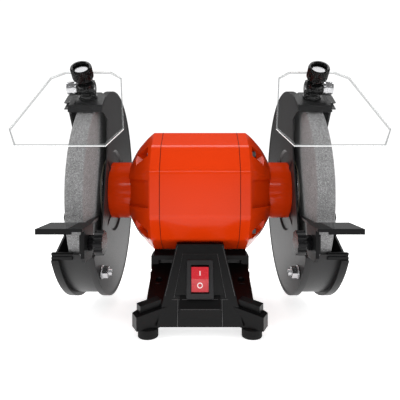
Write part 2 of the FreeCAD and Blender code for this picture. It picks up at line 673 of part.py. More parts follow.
def rest_knob():
    """Star knob with a round hub."""
    body = rod(6.4, LEG_X - 6.0, LEG_X - 0.3, REST_SCREW_Y, REST_SCREW_Z)
    body = join([body, rod(10.2, LEG_X - 12.8, LEG_X - 5.6, REST_SCREW_Y, REST_SCREW_Z)])
    for step in range(8):
        turn = math.radians(45.0 * step + 22.5)
        groove = rod(2.3, LEG_X - 13.0, LEG_X - 5.6, REST_SCREW_Y + 11.2 * math.cos(turn),
                     REST_SCREW_Z + 11.2 * math.sin(turn))
        body = body.cut(groove)
    return body.cut(rod(3.0, LEG_X - 11.0, LEG_X, REST_SCREW_Y, REST_SCREW_Z))


both("tool_rest", tool_rest())
both("rest_bracket", rest_bracket())
both("rest_knob", rest_knob())
both("rest_knob_screw", rod(2.96, LEG_X - 11.0, BRACKET_X + BRACKET_T + 0.6, REST_SCREW_Y, REST_SCREW_Z))
pair("guard_studs", rod(3.0, PLATE_X - 10.0, BRACKET_X + BRACKET_T, STUD_Y, STUD_Z))
stud_nut = join([hexagon(10.0, PLATE_X - 6.8, PLATE_X - 1.2, STUD_Y, STUD_Z),
                 rod(6.4, PLATE_X - 1.2, PLATE_X, STUD_Y, STUD_Z)])
stud_nut = stud_nut.cut(rod(3.0, PLATE_X - 8.0, PLATE_X + 1.0, STUD_Y, STUD_Z))
pair("guard_stud_nuts", stud_nut)

# Base ---------------------------------------------------------------------
def frustum(inset, z0, z1):
    """Tower volume between two heights, walls moved in by inset."""
    slope_x = (TOWER_BASE_X - TOWER_TOP_X) / (TOWER_TOP - TOWER_BASE)
    slope_y = (TOWER_BASE_Y - TOWER_TOP_Y) / (TOWER_TOP - TOWER_BASE)
    rings = []
    for z in (z0, z1):
        hx = TOWER_TOP_X + slope_x * (TOWER_TOP - z) - inset
        hy = TOWER_TOP_Y + slope_y * (TOWER_TOP - z) - inset
        corners = [V(-hx, -hy, z), V(hx, -hy, z), V(hx, hy, z), V(-hx, hy, z)]
        rings.append(Part.makePolygon(corners + corners[:1]))
    return Part.makeLoft(rings, True, True)


RAMP_PROFILE = ((-68.0, 27.0), (-66.0, 28.0), (-10.0, 52.0), (10.0, 52.0), (66.0, 28.0), (68.0, 27.0))


def ramp_prism(drop, half, z_low):
    """Roof shaped body of the base flanks."""
    points = [(y, z - drop - SHAFT_Z) for y, z in RAMP_PROFILE]
    reach = 68.0 - drop
    points = [(max(-reach, min(reach, y)), z) for y, z in points]
    points += [(reach, z_low - SHAFT_Z), (-reach, z_low - SHAFT_Z)]
    return prism_x(points, -half, half)


LEG_PLAN = ((20.0, -66.2), (57.4, -84.0), (63.3, -71.0), (50.0, -52.0), (20.0, -52.0))
LEG_INNER = ((24.0, -65.0), (56.0, -80.2), (59.6, -71.6), (48.0, -56.0), (24.0, -56.0))
LEG_TOP_IN = 28.5
LEG_TOP_OUT = 20.6


def leg_roof(drop, z0):
    """Sloping envelope over a leg, falling outwards."""
    run = 43.0
    fall = (LEG_TOP_IN - LEG_TOP_OUT) / 41.0
    corners = [V(-30, 0, z0), V(run + 30, 0, z0), V(run + 30, 0, LEG_TOP_IN - drop - fall * (run + 30)),
               V(-30, 0, LEG_TOP_IN - drop + fall * 30)]
    wedge = Part.Face(Part.makePolygon(corners + corners[:1])).extrude(V(0, 120, 0))
    wedge.translate(V(0, -60, 0))
    wedge.rotate(V(0, 0, 0), V(0, 0, 1), -25.6)
    wedge.translate(V(20.0, -66.2, 0))
    return wedge


def leg_outer():
    """Front right leg with its wedge block."""
    leg = prism_z(LEG_PLAN, LEG_UNDER, 45.0).common(leg_roof(0.0, LEG_UNDER - 1.0))
    block = Part.makeBox(20.5, 11.5, 14.0, V(15.5, 5.5, 0))
    block.rotate(V(0, 0, 0), V(0, 0, 1), -25.6)
    block.translate(V(20.0, -66.2, 18.0))
    cap = leg_roof(-6.5, LEG_UNDER)
    return join([leg, block.common(cap)])


def leg_inner():
    """Hollow of a leg, open below."""
    return prism_z(LEG_INNER, LEG_UNDER - 1.0, 45.0).common(leg_roof(WALL, LEG_UNDER - 2.0))


def four_ways(shape):
    """The same shape at all four corners."""
    back = shape.mirror(V(0, 0, 0), V(0, 1, 0))
    return [shape, mirrored(shape), back, mirrored(back)]


APRON_HALF = 19.2
APRON = ((-60.0, 36.5), (-66.0, 36.0), (-74.6, 26.5), (-75.4, 25.5), (-75.4, 10.0), (-60.0, 10.0))
WING = ((-17.0, 57.0), (-17.0, 61.5), (-11.0, 66.8), (11.0, 66.8), (17.0, 61.5), (17.0, 57.0))


def panel_frame(shape):
    """Place a piece on the sloping front panel."""
    return tilted(shape, PANEL_TILT, SWITCH_Y, SWITCH_Z)


def base_casting():
    """Hollow base: tower, flanks, four legs, aprons, saddle blocks and bosses."""
    parts = [frustum(0.0, LEG_UNDER + 2.0, TOWER_TOP), ramp_prism(0.0, SIDE_X, LEG_UNDER + 2.0)]
    parts += four_ways(leg_outer())
    apron_front = prism_x([(y, z - SHAFT_Z) for y, z in APRON], -APRON_HALF, APRON_HALF)
    parts += [apron_front, apron_front.mirror(V(0, 0, 0), V(0, 1, 0))]
    body = parts[0]
    for part in parts[1:]:
        body = body.fuse(part)
    hollow = [frustum(WALL, LEG_UNDER, 64.5), ramp_prism(WALL, SIDE_X - WALL, LEG_UNDER)]
    hollow += four_ways(leg_inner())
    for part in hollow:
        body = body.cut(part)
    for sign in (-1.0, 1.0):
        wing = prism_x([(y, z - SHAFT_Z) for y, z in WING], 23.0, 49.0)
        arm = box(44.5, 52.5, -12.0, 12.0, 46.0, 60.0)
        if sign < 0:
            wing = mirrored(wing)
            arm = mirrored(arm)
        body = body.fuse(wing).fuse(arm)
    body = body.cut(body_prism(-60.0, 60.0))
    skin = Part.makePolygon([V(-16.7, 24.4, 0), V(16.7, 24.4, 0), V(23.3, -14.2, 0), V(-23.3, -14.2, 0),
                             V(-16.7, 24.4, 0)])
    body = body.fuse(panel_frame(Part.Face(skin).extrude(V(0, 0, 1.2))))
    bosses = []
    holes = []
    for sx in (-1.0, 1.0):
        for sy in (-1.0, 1.0):
            x = sx * BENCH_HOLE_X
            y = sy * BENCH_HOLE_Y
            boss = Part.makeCylinder(6.5, 39.0, V(x, y, 0))
            bosses.append(boss)
            holes.append(Part.makeCylinder(BENCH_HOLE_R, 60.0, V(x, y, 0)))
            foot_boss = Part.makeCylinder(5.0, 14.0, V(sx * FOOT_X, sy * FOOT_Y, LEG_UNDER))
            bosses.append(foot_boss)
            holes.append(Part.makeCylinder(2.0, 12.0, V(sx * FOOT_X, sy * FOOT_Y, LEG_UNDER - 1.0)))
    for boss in bosses:
        body = body.fuse(boss)
    for hole in holes:
        body = body.cut(hole)
    for sx, sy in MOTOR_SCREWS:
        body = body.cut(Part.makeCylinder(2.6, 8.0, V(sx, sy, 62.0)))
    window = Part.makeBox(23.0, 33.0, 12.0, V(-11.5, -16.5, -8.0))
    body = body.cut(panel_frame(window))
    gland_hole = Part.makeCylinder(5.0, 14.0, V(0, 79.0, 24.0), V(0, -1, 0))
    body = body.cut(gland_hole)
    for angle_x, angle_y in PLATE_SCREWS:
        body = body.fuse(Part.makeCylinder(4.0, 21.8, V(angle_x, angle_y, LEG_UNDER + 2.0)))
        body = body.cut(Part.makeCylinder(1.6, 10.0, V(angle_x, angle_y, LEG_UNDER)))
    return body


PLATE_SCREWS = ((-38.0, -52.0), (38.0, -52.0), (-38.0, 52.0), (38.0, 52.0))
casting = base_casting()
save("base_casting", casting)
bottom = box(-47.5, 47.5, -57.0, 57.0, LEG_UNDER + 0.4, LEG_UNDER + 1.9)
for sx in (-1.0, 1.0):
    for sy in (-1.0, 1.0):
        bottom = bottom.cut(Part.makeCylinder(6.7, 10.0, V(sx * BENCH_HOLE_X, sy * BENCH_HOLE_Y, 5.0)))
for px, py in PLATE_SCREWS:
    bottom = bottom.cut(Part.makeCylinder(1.9, 10.0, V(px, py, 5.0)))
save("base_plate", bottom.removeSplitter())
plate_screws = []
for px, py in PLATE_SCREWS:
    plate_screws.append(join([Part.makeCylinder(1.6, 9.0, V(px, py, LEG_UNDER + 0.4)),
                              Part.makeCylinder(3.2, 1.9, V(px, py, LEG_UNDER - 1.5))]))
save("base_plate_screws", Part.makeCompound(plate_screws))
motor_screws = []
for sx, sy in MOTOR_SCREWS:
    motor_screws.append(join([Part.makeCylinder(2.5, 7.3, V(sx, sy, 64.5)),
                              Part.makeCylinder(4.2, 2.6, V(sx, sy, 61.9))]))
save("motor_screws", Part.makeCompound(motor_screws))
feet = []
foot_screws = []
for sx in (-1.0, 1.0):
    for sy in (-1.0, 1.0):
        x = sx * FOOT_X
        y = sy * FOOT_Y
        foot = Part.makeCylinder(FOOT_R, LEG_UNDER, V(x, y, 0))
        foot = foot.makeFillet(1.0, [e for e in foot.Edges if e.BoundBox.ZMax < 0.1])
        foot = foot.cut(Part.makeCylinder(4.5, 4.0, V(x, y, -0.1))).cut(Part.makeCylinder(2.2, 10.0, V(x, y, 0)))
        feet.append(foot)
        foot_screws.append(join([Part.makeCylinder(2.0, 13.0, V(x, y, 3.9)),
                                 Part.makeCylinder(3.9, 2.2, V(x, y, 1.7))]))
save("rubber_feet", Part.makeCompound(feet))
save("foot_screws", Part.makeCompound(foot_screws))

# Switch, capacitor and cord gland -----------------------------------------
BEZEL_TOP = 3.9
bezel = Part.makeBox(BEZEL_W, BEZEL_L, BEZEL_TOP - 1.2, V(-BEZEL_W / 2, -BEZEL_L / 2, 1.2))
bezel = bezel.makeFillet(2.0, [e for e in bezel.Edges if e.BoundBox.ZLength > 2.0])
rim = [e for e in bezel.Edges if abs(e.CenterOfMass.z - BEZEL_TOP) < 0.01]
bezel = bezel.makeFillet(0.8, rim)
WELL_SIDE = 0.4
WELL_END = 1.4
well = Part.makeBox(ROCKER_W + 2 * WELL_SIDE, ROCKER_L + 2 * WELL_END, 30.0,
                    V(-ROCKER_W / 2 - WELL_SIDE, -ROCKER_L / 2 - WELL_END, -13.0))
housing = Part.makeBox(22.0, 32.0, 17.2, V(-11.0, -16.0, -16.0))
save("switch_housing", panel_frame(join([bezel, housing]).cut(well)))
ROCKER_PIVOT = -1.6
profile = [V(0, -ROCKER_L / 2, 2.6), V(0, 0, 3.6), V(0, ROCKER_L / 2 - 1.0, 6.6), V(0, ROCKER_L / 2 - 0.2, -2.0),
           V(0, 3.0, -6.0), V(0, -3.0, -6.0), V(0, -ROCKER_L / 2 + 0.4, -3.0)]
rocker = Part.Face(Part.makePolygon(profile + profile[:1])).extrude(V(ROCKER_W, 0, 0))
rocker.translate(V(-ROCKER_W / 2, 0, 0))
pins = Part.makeCylinder(1.4, ROCKER_W + 0.5, V(-(ROCKER_W + 0.5) / 2, 0, ROCKER_PIVOT), V(1, 0, 0))
save("switch_rocker", panel_frame(join([rocker, pins])))
CAPACITOR_R = 9.0
CAPACITOR_Z = 18.9
capacitor = Part.makeCylinder(CAPACITOR_R, 44.0, V(-22.0, 38.0, CAPACITOR_Z), V(1, 0, 0))
save("capacitor", capacitor)
gland = Part.makeCylinder(5.0, 13.0, V(0, 78.5, 24.0), V(0, -1, 0))
gland = gland.fuse(Part.makeCylinder(8.0, 3.0, V(0, 78.4, 24.0), V(0, -1, 0)))
gland = gland.cut(Part.makeCylinder(3.2, 30.0, V(0, 85.0, 24.0), V(0, -1, 0)))
save("cord_gland", gland.removeSplitter())
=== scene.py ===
"""Looks of a two-wheel bench grinder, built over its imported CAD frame.

All lengths are in metres and all places are in the row frame: the origin lies on
the bench under the middle of the shaft, +X runs along the shaft and -Y faces the
operator.  Each sub-assembly is one class whose build method finishes the CAD
nodes it owns and adds the modelled detail that rides on them.
"""

import json
import logging
import math
from dataclasses import dataclass, field
from enum import Enum
from typing import Dict, List, Optional, Sequence, Tuple, Union

import bmesh
import bpy
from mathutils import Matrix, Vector


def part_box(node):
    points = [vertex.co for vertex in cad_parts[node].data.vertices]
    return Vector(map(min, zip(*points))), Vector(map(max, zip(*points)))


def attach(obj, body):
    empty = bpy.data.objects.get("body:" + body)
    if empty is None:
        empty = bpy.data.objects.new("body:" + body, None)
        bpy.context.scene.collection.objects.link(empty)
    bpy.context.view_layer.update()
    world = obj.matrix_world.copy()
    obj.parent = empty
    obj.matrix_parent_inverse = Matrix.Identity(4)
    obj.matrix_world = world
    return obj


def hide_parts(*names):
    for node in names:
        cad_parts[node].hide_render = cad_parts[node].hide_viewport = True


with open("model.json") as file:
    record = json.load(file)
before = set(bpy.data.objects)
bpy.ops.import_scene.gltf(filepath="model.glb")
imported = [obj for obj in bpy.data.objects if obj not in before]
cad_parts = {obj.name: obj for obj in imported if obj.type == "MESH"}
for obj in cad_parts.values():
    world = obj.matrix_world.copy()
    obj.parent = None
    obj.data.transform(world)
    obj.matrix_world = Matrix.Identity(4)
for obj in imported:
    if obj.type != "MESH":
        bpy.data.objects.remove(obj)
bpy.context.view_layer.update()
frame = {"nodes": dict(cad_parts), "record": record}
SHAFT_Z = 0.130
PANEL_PLACE = (-0.0601, 0.0481)          # Y and Z of the rocker's middle on the switch panel
PANEL_TILT = math.radians(64.0)
SHIELD_TILT = math.radians(50.36)
SMOOTH_LIMIT = math.radians(38.0)        # edges that turn by more stay sharp
WELD_REACH = 0.000002
JOIN_REACH = 0.0000005
SECTION_STEP = 2.0                       # degrees round the shaft
MIX_FIRST, MIX_SECOND, MIX_RESULT = 6, 7, 2    # colour sockets of the mix node
LEAST_SQUARE = 0.0000004                 # keeps the last row of the ball open

logging.basicConfig(level=logging.INFO, format="%(name)s: %(message)s")
log = logging.getLogger("grinder")

Colour = Tuple[float, float, float]
Point = Tuple[float, float, float]
WHITE = (1.0, 1.0, 1.0, 1.0)


class Side(Enum):
    """One end of the shaft."""

    LEFT = -1
    RIGHT = 1

    @property
    def word(self) -> str:
        """Lower-case word that node and body names end with."""
        return self.name.lower()


# --------------------------------------------------------------------------
# Finishes
# --------------------------------------------------------------------------
class NodeSheet:
    """Small helper that lays out the nodes of one material."""

    def __init__(self, name: str) -> None:
        """Start an empty material.

        Args:
            name: material name.
        """
        self.material = bpy.data.materials.new(name)
        self.material.use_nodes = True
        self.tree = self.material.node_tree
        self.shader = self.tree.nodes["Principled BSDF"]

    def add(self, kind: str, **values: object) -> bpy.types.Node:
        """Add a node and set its attributes or input values.

        Args:
            kind: Blender node type.
            **values: attribute names, or input names with spaces as underscores.

        Returns:
            The new node.
        """
        node = self.tree.nodes.new(kind)
        for key, value in values.items():
            if hasattr(node, key):
                setattr(node, key, value)
            else:
                node.inputs[key.replace("_", " ")].default_value = value
        return node

    def link(self, source: bpy.types.NodeSocket, target: bpy.types.NodeSocket) -> None:
        """Join two sockets."""
        self.tree.links.new(source, target)

    def noise(self, scale: float, detail: float = 4.0, rough: float = 0.55,
              stretch: Point = (1.0, 1.0, 1.0)) -> bpy.types.NodeSocket:
        """Object-space noise.

        Args:
            scale: grains per metre.
            detail: number of octaves.
            rough: weight of the fine octaves.
            stretch: scale factors along each axis, for brushed grain.

        Returns:
            The noise value socket.
        """
        place = self.add("ShaderNodeTexCoord")
        mapping = self.add("ShaderNodeMapping")
        mapping.inputs["Scale"].default_value = stretch
        texture = self.add("ShaderNodeTexNoise", Scale=scale, Detail=detail, Roughness=rough)
        self.link(place.outputs["Object"], mapping.inputs["Vector"])
        self.link(mapping.outputs["Vector"], texture.inputs["Vector"])
        return texture.outputs["Fac"]

    def ramp(self, source: bpy.types.NodeSocket, low: float, high: float,
             out_low: float, out_high: float) -> bpy.types.NodeSocket:
        """Map a value range to another, clamped.

        Args:
            source: value to map.
            low: value that gives out_low.
            high: value that gives out_high.
            out_low: result at and below low.
            out_high: result at and above high.

        Returns:
            The mapped value socket.
        """
        node = self.add("ShaderNodeMapRange")
        node.inputs["From Min"].default_value = low
        node.inputs["From Max"].default_value = high
        node.inputs["To Min"].default_value = out_low
        node.inputs["To Max"].default_value = out_high
        self.link(source, node.inputs["Value"])
        return node.outputs["Result"]

    def mix(self, factor: bpy.types.NodeSocket, first: object, second: object) -> bpy.types.NodeSocket:
        """Mix two colours.

        Args:
            factor: share of the second colour.
            first: colour or socket at factor 0.
            second: colour or socket at factor 1.

        Returns:
            The mixed colour socket.
        """
        node = self.add("ShaderNodeMix")
        node.data_type = "RGBA"
        self.link(factor, node.inputs["Factor"])
        for place, value in ((MIX_FIRST, first), (MIX_SECOND, second)):
            if isinstance(value, bpy.types.NodeSocket):
                self.link(value, node.inputs[place])
            else:
                node.inputs[place].default_value = (*value, 1.0)
        return node.outputs[MIX_RESULT]

    def bump(self, height: bpy.types.NodeSocket, distance: float, strength: float,
             below: Optional[bpy.types.NodeSocket] = None) -> bpy.types.NodeSocket:
        """Bump from a height.

        Args:
            height: height socket, 0 to 1.
            distance: relief in metres.
            strength: share of the bump that is kept.
            below: normal of a coarser bump under this one.

        Returns:
            The normal socket.
        """
        node = self.add("ShaderNodeBump", Strength=strength, Distance=distance)
        self.link(height, node.inputs["Height"])
        if below is not None:
            self.link(below, node.inputs["Normal"])
        return node.outputs["Normal"]


def shifted(colour: Colour, factor: float) -> Colour:
    """The same colour, lighter or darker."""
    return tuple(max(0.0, min(1.0, part * factor)) for part in colour)


BROAD_PATCHES = 14.0                     # tone patches per metre
LEAST_ROUGHNESS = 0.02
COAT_ROUGHNESS = 0.08


@dataclass(frozen=True)
class Finish:
    """Painted, moulded or bare surface with grain and tone variation.

    Attributes:
        name: material name.
        colour: base colour.
        roughness: middle of the roughness range.
        metallic: 1 for bare metal.
        coat: weight of the clear coat.
        grain: fine grains per metre.
        relief: height of the grain in metres.
        gloss: specular level.
        strength: share of the bump that is kept.
        tone: lightening and darkening of the colour.
        stretch: scale factors of the grain along each axis.
        spread: half of the roughness range.
    """

    name: str
    colour: Colour
    roughness: float
    metallic: float = 0.0
    coat: float = 0.0
    grain: float = 900.0
    relief: float = 0.00004
    gloss: float = 0.5
    strength: float = 0.25
    tone: float = 0.12
    stretch: Point = (1.0, 1.0, 1.0)
    spread: float = 0.06

    def build(self) -> bpy.types.Material:
        """Lay out the nodes.

        Returns:
            The finished material.
        """
        sheet = NodeSheet(self.name)
        shader = sheet.shader
        broad = sheet.noise(BROAD_PATCHES, 3.0)
        fine = sheet.noise(self.grain, 5.0, stretch=self.stretch)
        light = shifted(self.colour, 1.0 + self.tone)
        tone = sheet.mix(sheet.ramp(broad, 0.3, 0.7, 0.0, 1.0), shifted(self.colour, 1.0 - self.tone), light)
        speck = sheet.mix(sheet.ramp(fine, 0.35, 0.65, 0.0, 1.0), tone, light)
        sheet.link(speck, shader.inputs["Base Color"])
        sheet.link(sheet.ramp(fine, 0.3, 0.7, max(LEAST_ROUGHNESS, self.roughness - self.spread),
                              self.roughness + self.spread), shader.inputs["Roughness"])
        sheet.link(sheet.bump(fine, self.relief, self.strength), shader.inputs["Normal"])
        shader.inputs["Metallic"].default_value = self.metallic
        shader.inputs["Specular IOR Level"].default_value = self.gloss
        shader.inputs["Coat Weight"].default_value = self.coat
        shader.inputs["Coat Roughness"].default_value = COAT_ROUGHNESS
        return sheet.material


@dataclass(frozen=True)
class AbrasiveFinish:
    """Pressed grit: pale and dark grains in a grey bond."""

    name: str
    bond: Colour
    pale: Colour
    dark: Colour
    grit: float = 900.0
    patches: float = 60.0
    dust: float = 2600.0
    tone: float = 0.1
    grain_relief: float = 0.0003
    dust_relief: float = 0.0001

    def build(self) -> bpy.types.Material:
        """Lay out the nodes.

        Returns:
            The finished material.
        """
        sheet = NodeSheet(self.name)
        place = sheet.add("ShaderNodeTexCoord")
        cells = sheet.add("ShaderNodeTexVoronoi", Scale=self.grit)
        sheet.link(place.outputs["Object"], cells.inputs["Vector"])
        shade = sheet.add("ShaderNodeSeparateColor")
        sheet.link(cells.outputs["Color"], shade.inputs["Color"])
        patch = sheet.noise(self.patches, 3.0)
        fine = sheet.noise(self.dust, 4.0)
        bond = sheet.mix(sheet.ramp(patch, 0.3, 0.7, 0.0, 1.0),
                         shifted(self.bond, 1.0 - self.tone), shifted(self.bond, 1.0 + self.tone))
        pale = sheet.mix(sheet.ramp(shade.outputs["Red"], 0.6, 0.95, 0.0, 0.8), bond, self.pale)
        dark = sheet.mix(sheet.ramp(shade.outputs["Green"], 0.75, 0.98, 0.0, 0.8), pale, self.dark)
        sheet.link(dark, sheet.shader.inputs["Base Color"])
        lumps = sheet.bump(cells.outputs["Distance"], self.grain_relief, 0.5)
        sheet.link(sheet.bump(fine, self.dust_relief, 0.5, lumps), sheet.shader.inputs["Normal"])
        sheet.link(sheet.ramp(fine, 0.3, 0.7, 0.8, 0.98), sheet.shader.inputs["Roughness"])
        return sheet.material


@dataclass(frozen=True)
class ClearFinish:
    """Clear moulded plate with faint wipe marks."""

    name: str
    tint: Colour
    see_through: float
    roughness: float
    smears: float = 45.0
    smear_roughness: float = 0.06
    smear_haze: float = 0.004
    index: float = 1.5

    def build(self) -> bpy.types.Material:
        """Lay out the nodes.

        Returns:
            The finished material.
        """
        sheet = NodeSheet(self.name)
        shader = sheet.shader
        smear = sheet.noise(self.smears, 6.0, stretch=(1.0, 0.25, 0.25))
        shader.inputs["Base Color"].default_value = (*self.tint, 1.0)
        shader.inputs["IOR"].default_value = self.index
        sheet.link(sheet.ramp(smear, 0.4, 0.8, self.roughness, self.roughness + self.smear_roughness),
                   shader.inputs["Roughness"])
        sheet.link(sheet.ramp(smear, 0.3, 0.8, self.see_through, self.see_through + self.smear_haze),
                   shader.inputs["Alpha"])
        return sheet.material


class Look(Enum):
    """Every finish the grinder wears."""

    ORANGE = "orange"
    GUARD = "guard"
    COVER = "cover"
    REST = "rest"
    REST_TOP = "rest_top"
    DULL_ZINC = "dull_zinc"
    BASE = "base"
    KNOB = "knob"
    GLOSS = "gloss"
    BEZEL = "bezel"
    ROCKER = "rocker"
    MARKS = "marks"
    ZINC = "zinc"
    EDGE_BLACK = "edge_black"
    SEAM = "seam"
    GUNMETAL = "gunmetal"
    STEEL = "steel"
    LAMINATION = "lamination"
    CAST = "cast"
    COPPER = "copper"
    RUBBER = "rubber"
    CARD = "card"
    BUSH = "bush"
    ABRASIVE = "abrasive"
    CLEAR = "clear"
    CHAMFER = "chamfer"
    EDGE = "edge"


Surface = Union[Finish, AbrasiveFinish, ClearFinish]

FINISHES: Dict[Look, Surface] = {
    Look.ORANGE: Finish("orange_enamel", (0.60, 0.034, 0.0015), 0.13, grain=700.0, relief=0.00003,
        strength=0.05, tone=0.03, gloss=0.2, spread=0.02),
    Look.GUARD: Finish("guard_powder_coat", (0.013, 0.013, 0.0134), 0.42, gloss=0.2, grain=1500.0,
        relief=0.00006, strength=0.22, tone=0.08),
    # Darker copy of the guard's black coat: painted shade on the lower cover and the arrestor cap.
    Look.COVER: Finish("cover_powder_coat", (0.008, 0.008, 0.0083), 0.38, grain=1500.0, relief=0.00006,
        strength=0.2, tone=0.08, gloss=0.13),
    Look.REST: Finish("rest_enamel", (0.005, 0.005, 0.0053), 0.42, gloss=0.1, grain=700.0,
        strength=0.08, tone=0.1),
    # Rest top: real polish in its low roughness, and a lighter colour that is a painted sheen.
    Look.REST_TOP: Finish("polished_rest_top", (0.012, 0.012, 0.013), 0.16, grain=700.0, strength=0.06,
        tone=0.1, gloss=0.6),
    # Darker copy of the zinc plate: painted shade on the screw end sunk in the knob's hollow top.
    Look.DULL_ZINC: Finish("dull_zinc", (0.20, 0.20, 0.205), 0.22, 1.0, grain=1800.0, strength=0.2,
        tone=0.15),
    Look.BASE: Finish("base_moulding", (0.0038, 0.0038, 0.004), 0.33, gloss=0.14, grain=2200.0,
        relief=0.00005, strength=0.3, tone=0.1),
    Look.KNOB: Finish("knob_moulding", (0.004, 0.004, 0.0045), 0.24, gloss=0.16, grain=1800.0,
        strength=0.2, tone=0.1),
    Look.GLOSS: Finish("gloss_black", (0.003, 0.003, 0.003), 0.1, gloss=0.16, grain=900.0,
        strength=0.04, tone=0.1),
    Look.BEZEL: Finish("switch_moulding", (0.010, 0.010, 0.011), 0.34, gloss=0.25, grain=2000.0,
        strength=0.2, tone=0.06),
    Look.ROCKER: Finish("rocker_moulding", (0.50, 0.010, 0.020), 0.24, coat=0.2, grain=600.0,
        strength=0.05, tone=0.05),
    Look.MARKS: Finish("white_marks", (0.85, 0.85, 0.85), 0.5, grain=1500.0, tone=0.03),
    Look.ZINC: Finish("zinc_plate", (0.40, 0.40, 0.41), 0.24, 1.0, grain=1800.0, strength=0.2,
        tone=0.12),
    # Lighter than the base moulding: painted highlight along the raised edges of the casting.
    Look.EDGE_BLACK: Finish("moulded_edge", (0.085, 0.085, 0.087), 0.35, grain=1800.0, strength=0.1,
        tone=0.1, gloss=0.5),
    Look.SEAM: Finish("dark_joint", (0.035, 0.004, 0.001), 0.7, grain=1500.0, strength=0.2, tone=0.1,
        gloss=0.1),
    # Dark steel on the tie bolts: painted shade of the end-bell notches they sit in.
    Look.GUNMETAL: Finish("black_oxide", (0.05, 0.045, 0.045), 0.35, 0.9, grain=1500.0, strength=0.2),
    Look.STEEL: Finish("turned_steel", (0.5, 0.5, 0.51), 0.3, 1.0, grain=900.0, stretch=(1.0, 6.0, 6.0),
        strength=0.2),
    Look.LAMINATION: Finish("lamination_steel", (0.22, 0.22, 0.23), 0.45, 1.0, grain=1200.0,
        stretch=(9.0, 1.0, 1.0), strength=0.4),
    Look.CAST: Finish("cast_aluminium", (0.6, 0.6, 0.62), 0.42, 1.0, grain=1000.0, strength=0.35),
    Look.COPPER: Finish("varnished_copper", (0.5, 0.16, 0.05), 0.3, 0.6, coat=0.5, grain=900.0,
        stretch=(3.0, 1.0, 1.0), strength=0.5),
    Look.RUBBER: Finish("foot_rubber", (0.007, 0.007, 0.007), 0.6, gloss=0.12, grain=1600.0,
        strength=0.4),
    Look.CARD: Finish("blotter_card", (0.6, 0.55, 0.42), 0.8, grain=1500.0, strength=0.5),
    Look.BUSH: Finish("bush_moulding", (0.75, 0.75, 0.72), 0.4, grain=1200.0),
    Look.ABRASIVE: AbrasiveFinish("grey_abrasive", (0.19, 0.19, 0.192), (0.34, 0.34, 0.34),
        (0.075, 0.075, 0.075), 1500.0),
    Look.CLEAR: ClearFinish("clear_plate", (0.92, 0.95, 0.95), 0.002, 0.03),
    # Dark grey half-clear chamfer: a painted dark refraction line round the plate's rim.
    Look.CHAMFER: ClearFinish("clear_chamfer", (0.16, 0.17, 0.17), 0.5, 0.1),
    # Near-white plate edge: a painted glint, the bright line the clear plate's edge shows.
    Look.EDGE: Finish("polished_edge", (0.93, 0.95, 0.95), 0.2, grain=900.0, strength=0.05, tone=0.02),
}


class FinishShelf:
    """Builds each material once and hands it out."""

    def __init__(self) -> None:
        """Start with no material made."""
        self.made: Dict[Look, bpy.types.Material] = {}

    def get(self, key: Look) -> bpy.types.Material:
        """Material of that finish, made on first use."""
        if key not in self.made:
            self.made[key] = FINISHES[key].build()
        return self.made[key]


SHELF = FinishShelf()


# --------------------------------------------------------------------------
# Mesh helpers
# --------------------------------------------------------------------------
def finish_node(node: str, finish: Look, round_edges: float = 0.0005, segments: int = 3,
                least_angle: float = 32.0) -> None:
    """Give a CAD node its material and soft edges.

    Args:
        node: CAD node name.
        finish: its finish.
        round_edges: width of the edge rounding, 0 for none.
        segments: steps across the rounding.
        least_angle: edges that turn by less than this many degrees stay as they are.
    """
    piece = frame["nodes"][node]
    for holder in piece.material_slots:
        holder.material = SHELF.get(finish)
    if round_edges > 0.0:
        weld = piece.modifiers.new("join_faces", "WELD")
        weld.merge_threshold = WELD_REACH
        bevel = piece.modifiers.new("round_edges", "BEVEL")
        bevel.width = round_edges
        bevel.segments = segments
        bevel.limit_method = "ANGLE"
        bevel.angle_limit = math.radians(least_angle)
        bevel.use_clamp_overlap = True
        bevel.harden_normals = False
    log.info("finished %s as %s", node, finish.value)


def make_piece(name: str, mesh: bmesh.types.BMesh, finishes: Sequence[Look], body: str,
               smooth: bool = True) -> bpy.types.Object:
    """Turn a bmesh into a piece that rides on a body.

    Args:
        name: object name.
        mesh: geometry, in the row frame; it is freed.
        finishes: finishes, in material index order.
        body: CAD body the piece rides on.
        smooth: shade smoothly across shallow edges.

    Returns:
        The new object.
    """
    bmesh.ops.remove_doubles(mesh, verts=mesh.verts, dist=JOIN_REACH)
    bmesh.ops.recalc_face_normals(mesh, faces=mesh.faces)
    data = bpy.data.meshes.new(name)
    for face in mesh.faces:
        face.smooth = smooth
    mesh.to_mesh(data)
    mesh.free()
    piece = bpy.data.objects.new(name, data)
    bpy.context.collection.objects.link(piece)
    for finish in finishes:
        data.materials.append(SHELF.get(finish))
    if smooth:
        data.set_sharp_from_angle(angle=SMOOTH_LIMIT)
    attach(piece, body)
    log.info("made %s on %s", name, body)
    return piece


Ring = List[bmesh.types.BMVert]


def bridge(mesh: bmesh.types.BMesh, rings: Sequence[Ring],
           closed: bool = False) -> List[List[bmesh.types.BMFace]]:
    """Skin between neighbouring rings of the same number of corners.

    Args:
        mesh: target.
        rings: rings in order.
        closed: join the last ring to the first as well.

    Returns:
        The faces of each row.
    """
    after = list(rings[1:]) + (list(rings[:1]) if closed else [])
    rows = []
    for first, second in zip(rings, after):
        count = len(first)
        rows.append([mesh.faces.new((first[step], first[(step + 1) % count],
                                     second[(step + 1) % count], second[step])) for step in range(count)])
    return rows


def extrude_outline(mesh: bmesh.types.BMesh, outline: Sequence[Vector], depth: Vector) -> None:
    """Closed prism from an outline.

    Args:
        mesh: target.
        outline: corners of the first cap.
        depth: sweep vector.
    """
    first = [mesh.verts.new(point) for point in outline]
    second = [mesh.verts.new(point + depth) for point in outline]
    mesh.faces.new(first)
    mesh.faces.new(second[::-1])
    count = len(outline)
    for index in range(count):
        after = (index + 1) % count
        mesh.faces.new((first[index], second[index], second[after], first[after]))


